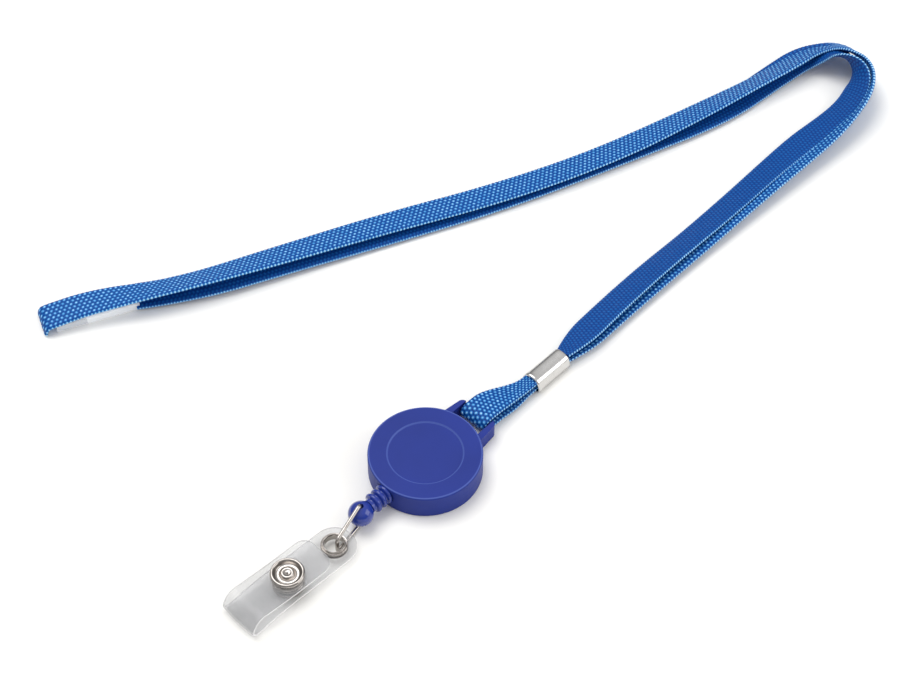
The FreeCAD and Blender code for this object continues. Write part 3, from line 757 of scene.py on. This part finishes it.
def vinyl_strap():
    """The badge strap: one bent clear sheet with its two holes."""
    eye, snap, heading = badge_place()
    line, at = smooth_line([(0.0, y, z) for y, z in VINYL_ROUTE], 0.35)
    tangent = unit(np.gradient(line, axis=0))
    normal = np.stack([np.zeros(len(at)), -tangent[:, 2], tangent[:, 1]], axis=1)
    fold = int(np.argmin(line[:, 1]))
    columns = 14
    rings = []
    for i, (place, out) in enumerate(zip(line, normal)):
        half = half_width(place[1], i > fold)
        bulge = math.exp(-((place[1] - VINYL_FOLD_Y) / VINYL_FOLD_REACH) ** 2)
        ring = []
        for side, order in ((1, range(columns + 1)), (-1, range(columns, -1, -1))):
            for j in order:
                v = -1 + 2 * j / columns
                trim = 1 - 0.03 * (1 - side * side)
                shape = place + out * (side * VINYL_THICK / 2)
                dip = VINYL_FOLD_DIP * bulge * (v * v)
                ring.append((v * half * trim, shape[1] + dip, shape[2]))
        rings.append(ring)
    local = np.array(rings).reshape(-1, 3)
    along = np.array([heading.x, heading.y, 0.0])
    across = np.array([-heading.y, heading.x, 0.0])
    points = np.array([eye.x, eye.y, 0.0]) + MM * (
        local[:, :1] * across - local[:, 1:2] * along + local[:, 2:] * UP)
    around = 2 * (columns + 1)
    piece = add_mesh("clear_strap", points, ring_faces(len(rings), around))
    paint(piece, "clear_vinyl")
    piece.data.materials.append(MATERIALS["vinyl_edge"])
    for face in piece.data.polygons:
        ring_places = {v % around for v in face.vertices}
        is_side = ring_places in ({columns, columns + 1}, {0, around - 1}) or len(face.vertices) > 4
        face.material_index = 1 if is_side else 0
        face.use_smooth = not is_side
    cut_hole(piece, 3.0 * MM, (eye.x, eye.y), 0.0, 4.0 * MM)
    cut_hole(piece, 1.8 * MM, (snap.x, snap.y), -MM, 8 * MM)
    piece.data.set_sharp_from_angle(angle=math.radians(40))
    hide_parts("vinyl_base", "vinyl_fold", "vinyl_flap")
    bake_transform(piece)


def metal_ring(name, profile, centre, node, body):
    """A turned nickel piece that stands for one node."""
    piece = turned(name, profile, centre)
    paint(piece, "nickel")
    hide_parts(node)
    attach(piece, body)


def fasteners():
    """Eyelet and snap, turned from rolled profiles."""
    eye, snap, _ = badge_place()
    metal_ring("eyelet_ring", [
        (2.70, 1.25), (2.70, 2.9), (2.78, 3.45), (3.05, 3.65), (3.22, 3.45), (3.3, 3.1),
        (3.42, 3.12), (3.62, 3.2), (3.78, 2.9), (3.78, 2.4), (3.2, 2.35), (3.0, 2.0), (3.0, 1.25),
    ], eye, "eyelet", "badge_strap")
    metal_ring("eyelet_back_ring", [
        (3.02, 1.25), (3.6, 1.25), (3.78, 1.5), (3.7, 1.75), (3.02, 1.75),
    ], eye, "eyelet_washer", "badge_strap")
    metal_ring("snap_back_disc", [
        (0.0, 0.25), (3.6, 0.1), (4.3, 0.35), (4.42, 0.9), (4.3, 1.5), (3.9, 1.75),
        (1.15, 1.75), (1.1, 3.3), (0.0, 3.3),
    ], snap, "snap_post", "badge_strap")
    metal_ring("snap_stud_ring", [
        (1.15, 2.35), (4.1, 2.35), (4.35, 2.6), (4.2, 2.95), (2.2, 3.0), (1.75, 3.3),
        (1.95, 4.0), (1.8, 4.45), (1.15, 4.5),
    ], snap, "snap_stud", "badge_strap")
    metal_ring("snap_socket_ring", [
        (2.1, 3.2), (3.7, 3.1), (4.25, 3.4), (4.45, 3.9), (4.2, 4.25), (4.35, 4.55), (4.3, 4.85), (2.1, 4.88),
    ], snap, "snap_socket", "strap_flap")
    metal_ring("snap_cap_ring", [
        (0.0, 5.0), (4.2, 5.48), (4.72, 5.7), (4.8, 6.2), (4.5, 6.75), (4.1, 6.85), (3.75, 6.6), (3.45, 5.75),
        (3.0, 5.5), (2.2, 5.55), (1.9, 6.1), (1.7, 6.55), (1.2, 6.6), (0.8, 6.35), (0.0, 6.3),
    ], snap, "snap_cap", "strap_flap")


# ---------------------------------------------------------------- CAD nodes that stay

def cad_finishes():
    finishes = {
        "rear_cover": "blue_plastic",
        "front_cover": "cover_plastic",
        "spool": "spool_plastic",
        "cord_winding": "cord",
        "power_spring": "spring_steel",
        "cord_knot": "cord",
        "wire_link": "nickel",
        "clasp_plug": "clasp_clear",
        "clasp_socket": "clasp_frosted",
    }
    for node, name in finishes.items():
        paint(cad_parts[node], name)


# ---------------------------------------------------------------- floor, lights, camera

def floor():
    size = 3.0
    piece = add_mesh("floor", [(-size, -size, 0), (size, -size, 0), (size, size, 0), (-size, size, 0)],
                     [(0, 1, 2, 3)], smooth=False)
    made, _, _, shader = material("floor_white")
    shader.inputs["Base Color"].default_value = (0.96, 0.95, 0.92, 1.0)
    shader.inputs["Roughness"].default_value = 0.9
    shader.inputs["Specular IOR Level"].default_value = 0.1
    piece.data.materials.append(made)


def area_light(name, place, aim, size, watts, colour=(1.0, 1.0, 1.0)):
    lamp = bpy.data.lights.new(name, "AREA")
    lamp.energy = watts
    lamp.size = size
    lamp.color = colour
    holder = bpy.data.objects.new(name, lamp)
    bpy.context.scene.collection.objects.link(holder)
    holder.location = place
    holder.rotation_mode = "QUATERNION"
    holder.rotation_quaternion = (Vector(aim) - Vector(place)).to_track_quat("-Z", "Y")


def studio():
    world = bpy.data.worlds.new("studio")
    bpy.context.scene.world = world
    world.use_nodes = True
    nodes = world.node_tree.nodes
    place = nodes.new("ShaderNodeTexCoord")
    parts = nodes.new("ShaderNodeSeparateXYZ")
    world.node_tree.links.new(place.outputs["Generated"], parts.inputs[0])
    sky = ramp(nodes, parts.outputs["Z"], [
        (0.0, (0.22, 0.22, 0.22)),
        (0.3, (0.40, 0.40, 0.40)),
        (0.6, (0.85, 0.85, 0.85)),
        (1.0, (1.0, 1.0, 1.0)),
    ])
    world.node_tree.links.new(sky, nodes["Background"].inputs["Color"])
    nodes["Background"].inputs["Strength"].default_value = 0.80
    aim = (-0.03, 0.07, 0.0)
    area_light("key", (-0.50, 0.05, 1.10), aim, 0.80, 8.2)
    area_light("side", (0.85, 0.58, 0.48), aim, 0.80, 4.6)
    bpy.context.scene.view_settings.view_transform = "Standard"


def camera():
    turn = math.radians(CAMERA_AZIMUTH)
    lift = math.radians(CAMERA_ELEVATION)
    back = Vector((math.sin(turn) * math.cos(lift), -math.cos(turn) * math.cos(lift), math.sin(lift)))
    lens = bpy.data.cameras.new("camera")
    lens.lens = CAMERA_LENS
    lens.clip_start = 0.01
    holder = bpy.data.objects.new("camera", lens)
    bpy.context.scene.collection.objects.link(holder)
    holder.location = CAMERA_TARGET + back * CAMERA_DISTANCE
    holder.rotation_mode = "QUATERNION"
    holder.rotation_quaternion = (-back).to_track_quat("-Z", "Y")
    bpy.context.scene.camera = holder


camera()
neck_strap()
ferrule()
cord_stop()
reel_cord()
vinyl_strap()
fasteners()
cad_finishes()
floor()
studio()
